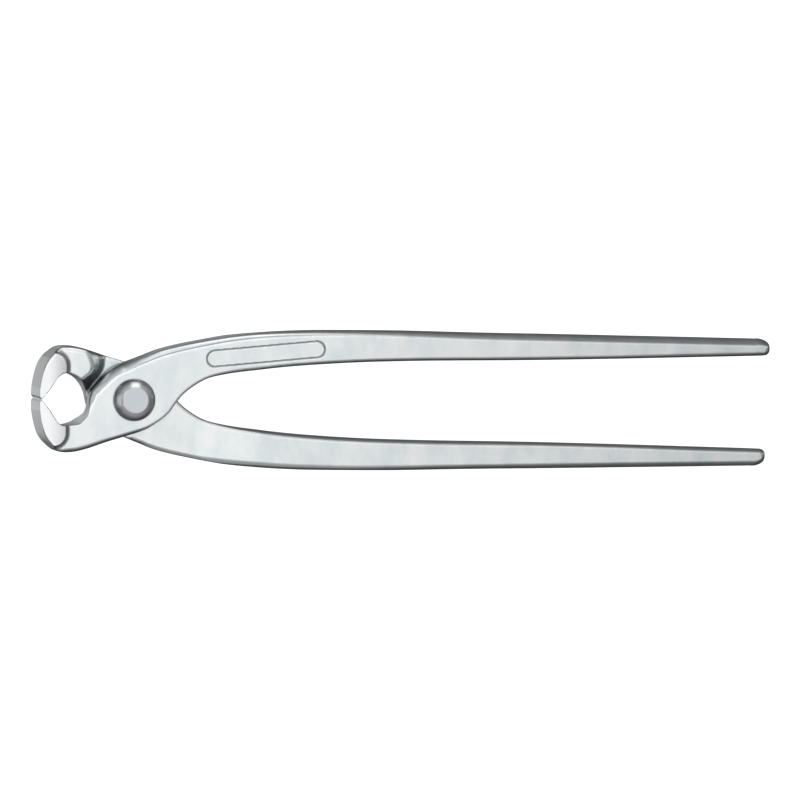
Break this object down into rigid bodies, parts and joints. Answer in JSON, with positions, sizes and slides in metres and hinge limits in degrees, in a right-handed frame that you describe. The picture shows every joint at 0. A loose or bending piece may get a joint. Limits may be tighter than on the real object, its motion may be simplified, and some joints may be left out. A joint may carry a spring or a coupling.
{
  "type": "rebar tying pliers",
  "caption": "End-cutting pliers for tying and cutting wire: forged halves cross at a riveted lap joint, with deep jaws round an open eye and long plain handles.",
  "frame": {"origin": "on the rivet's axis, at the flat of its rear head, which the tool rests on", "axes": "+X from the pivot along the handles, +Y towards the front half's handle, +Z along the rivet, from the rear half to the front half"},
  "size_m": [0.25, 0.0472, 0.019],
  "materials": {
    "forged_steel": "drop-forged steel, bright zinc-plated, satin, with ground jaws",
    "rivet_steel": "bright zinc-plated steel, smooth"
  },
  "bodies": {
    "front": {"front_half": "forged_steel", "rivet": "rivet_steel"},
    "rear": {"rear_half": "forged_steel"}
  },
  "joints": [
    {"name": "pivot", "type": "hinge", "parent": "front", "child": "rear", "pos_m": [0, 0, 0.0095], "axis": [0, 0, -1], "range_deg": [0, 30]}
  ]
}
